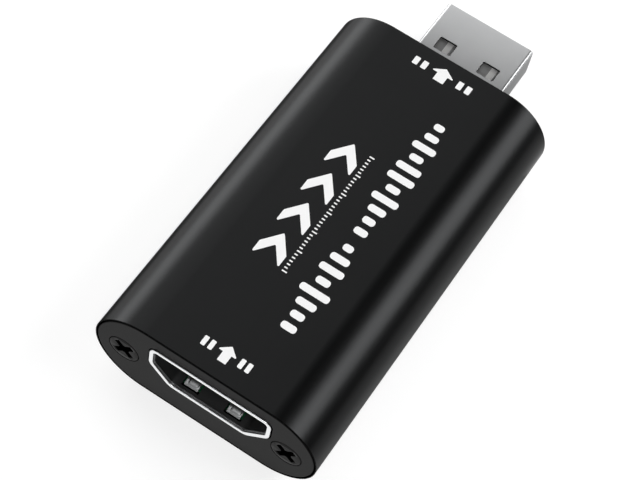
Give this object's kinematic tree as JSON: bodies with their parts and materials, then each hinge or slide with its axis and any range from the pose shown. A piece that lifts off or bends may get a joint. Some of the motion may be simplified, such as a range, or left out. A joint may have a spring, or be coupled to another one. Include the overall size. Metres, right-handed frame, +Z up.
{
  "type": "video capture adapter",
  "caption": "Stick-shaped video capture adapter: an oval metal sleeve with a screwed plate at each end, a video socket in one and a computer plug in the other.",
  "frame": {"origin": "centre of the flat underside, half way between the socket's mouth and the plug's tip", "axes": "+X across, +Y from the video socket to the computer plug, +Z up"},
  "size_m": [0.028, 0.0616, 0.0123],
  "materials": {
    "anodised_sleeve": "satin black anodised",
    "plate_black": "fine matt black",
    "screw_black": "blackened",
    "socket_steel": "bright nickel",
    "plug_steel": "satin nickel",
    "connector_plastic": "moulded black",
    "contact_gold": "gold flash",
    "board_laminate": "solder mask",
    "chip_resin": "moulded resin",
    "tinned_lead": "bright tin",
    "crystal_ceramic": "fired ceramic",
    "crystal_can": "plated lid",
    "inductor_ferrite": "moulded ferrite",
    "capacitor_ceramic": "sintered ceramic",
    "resistor_coat": "glass coat"
  },
  "bodies": {
    "case": {"case_sleeve": "anodised_sleeve", "input_end_plate": "plate_black", "output_end_plate": "plate_black", "input_plate_screws": "screw_black", "output_plate_screws": "screw_black", "circuit_board": "board_laminate", "socket_shell": "socket_steel", "socket_insulator": "connector_plastic", "socket_upper_contacts": "contact_gold", "socket_lower_contacts": "contact_gold", "plug_shell": "plug_steel", "plug_insulator": "connector_plastic", "plug_contacts": "contact_gold", "capture_chip": "chip_resin", "capture_chip_leads": "tinned_lead", "memory_chip": "chip_resin", "memory_chip_leads": "tinned_lead", "voltage_regulators": "chip_resin", "regulator_leads": "tinned_lead", "clock_crystal_base": "crystal_ceramic", "clock_crystal_lid": "crystal_can", "power_inductor": "inductor_ferrite", "surge_arrays": "chip_resin", "capacitors": "capacitor_ceramic", "resistors": "resistor_coat", "chip_part_ends": "tinned_lead"},
    "upper_spring_left": {"upper_spring_left": "socket_steel"},
    "upper_spring_right": {"upper_spring_right": "socket_steel"},
    "lower_spring_left": {"lower_spring_left": "socket_steel"},
    "lower_spring_right": {"lower_spring_right": "socket_steel"}
  },
  "joints": [
    {"name": "upper_spring_left_flex", "type": "hinge", "parent": "case", "child": "upper_spring_left", "pos_m": [-0.0022, -0.0247, 0.0097], "axis": [-1, 0, 0], "range_deg": [0, 3.7], "stiffness_Nm_per_rad": 0.05},
    {"name": "upper_spring_right_flex", "type": "hinge", "parent": "case", "child": "upper_spring_right", "pos_m": [0.0032, -0.0247, 0.0097], "axis": [-1, 0, 0], "range_deg": [0, 3.7], "stiffness_Nm_per_rad": 0.05},
    {"name": "lower_spring_left_flex", "type": "hinge", "parent": "case", "child": "lower_spring_left", "pos_m": [-0.0022, -0.0247, 0.00485], "axis": [1, 0, 0], "range_deg": [0, 3.7], "stiffness_Nm_per_rad": 0.05},
    {"name": "lower_spring_right_flex", "type": "hinge", "parent": "case", "child": "lower_spring_right", "pos_m": [0.0032, -0.0247, 0.00485], "axis": [1, 0, 0], "range_deg": [0, 3.7], "stiffness_Nm_per_rad": 0.05}
  ]
}
